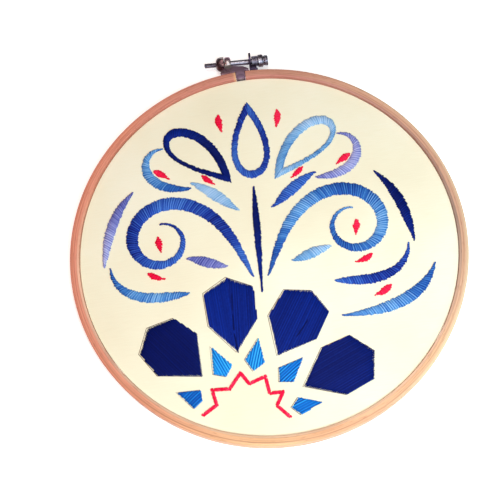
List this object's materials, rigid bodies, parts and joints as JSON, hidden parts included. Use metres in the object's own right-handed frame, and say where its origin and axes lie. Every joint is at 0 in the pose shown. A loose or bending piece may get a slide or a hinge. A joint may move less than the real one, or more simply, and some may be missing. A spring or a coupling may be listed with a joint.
{
  "type": "embroidery hoop with stitched cloth",
  "caption": "Wooden embroidery hoop with a metal clamp screw, holding cream cotton stitched in blues and red with leafy scrolls over half of a geometric rosette.",
  "frame": {"origin": "middle of the whole outline seen from the front, on the plane of the back face that rests on the surface", "axes": "+Z out of the stitched face, +Y towards the clamp screw"},
  "size_m": [0.21, 0.2226, 0.0091],
  "materials": {
    "beech": "pale beech under a thin worn varnish",
    "beech_inner": "bare pale beech",
    "cotton": "cream plain-woven cotton, matt",
    "navy": "navy stranded cotton thread in satin stitch, soft sheen",
    "royal": "royal blue stranded cotton thread in satin stitch, soft sheen",
    "mid": "mid blue stranded cotton thread in satin stitch, soft sheen",
    "sky": "sky blue stranded cotton thread in satin stitch, soft sheen",
    "periwinkle": "periwinkle stranded cotton thread in satin stitch, soft sheen",
    "turquoise": "bright blue stranded cotton thread in satin stitch, soft sheen",
    "red": "red stranded cotton thread, soft sheen",
    "steel": "plated steel, dulled and stained by use",
    "bronze": "dark bronze-toned metal, worn at its corners"
  },
  "bodies": {
    "hoop": {"blade_bud_left": "red", "blade_bud_right": "red", "blade_left": "sky", "blade_right": "royal", "clamp_bracket_left": "steel", "clamp_bracket_right": "steel", "clamp_nut": "bronze", "cotton_ground": "cotton", "crown_right": "royal", "curl_bud_left": "red", "curl_bud_right": "red", "curl_left": "mid", "curl_right": "periwinkle", "eye_bud_left": "red", "eye_bud_right": "red", "inner_hoop": "beech_inner", "kite_1": "turquoise", "kite_2": "turquoise", "kite_3": "turquoise", "kite_4": "turquoise", "kite_5": "turquoise", "leaflet_left": "periwinkle", "leaflet_right": "sky", "low_bud_left": "red", "low_bud_right": "red", "low_leaf_left": "mid", "low_leaf_right": "royal", "outer_hoop": "beech", "petal_1": "navy", "petal_2": "navy", "petal_3": "navy", "petal_4": "navy", "rim_leaf_left": "periwinkle", "rim_leaf_right": "navy", "scroll_left": "royal", "scroll_right": "mid", "star_line": "red", "stem_right": "navy", "sweep_bud_right": "red", "sweep_right": "mid", "tip_bud_left": "red", "tip_bud_right": "red", "wing_left": "navy", "wing_right": "sky"},
    "screw": {"clamp_screw": "steel"}
  },
  "joints": [
    {"name": "screw_turn", "type": "hinge", "parent": "hoop", "child": "screw", "pos_m": [0, 0.10643, 0.0048], "axis": [0.998, -0.0628, 0], "continuous": true}
  ]
}
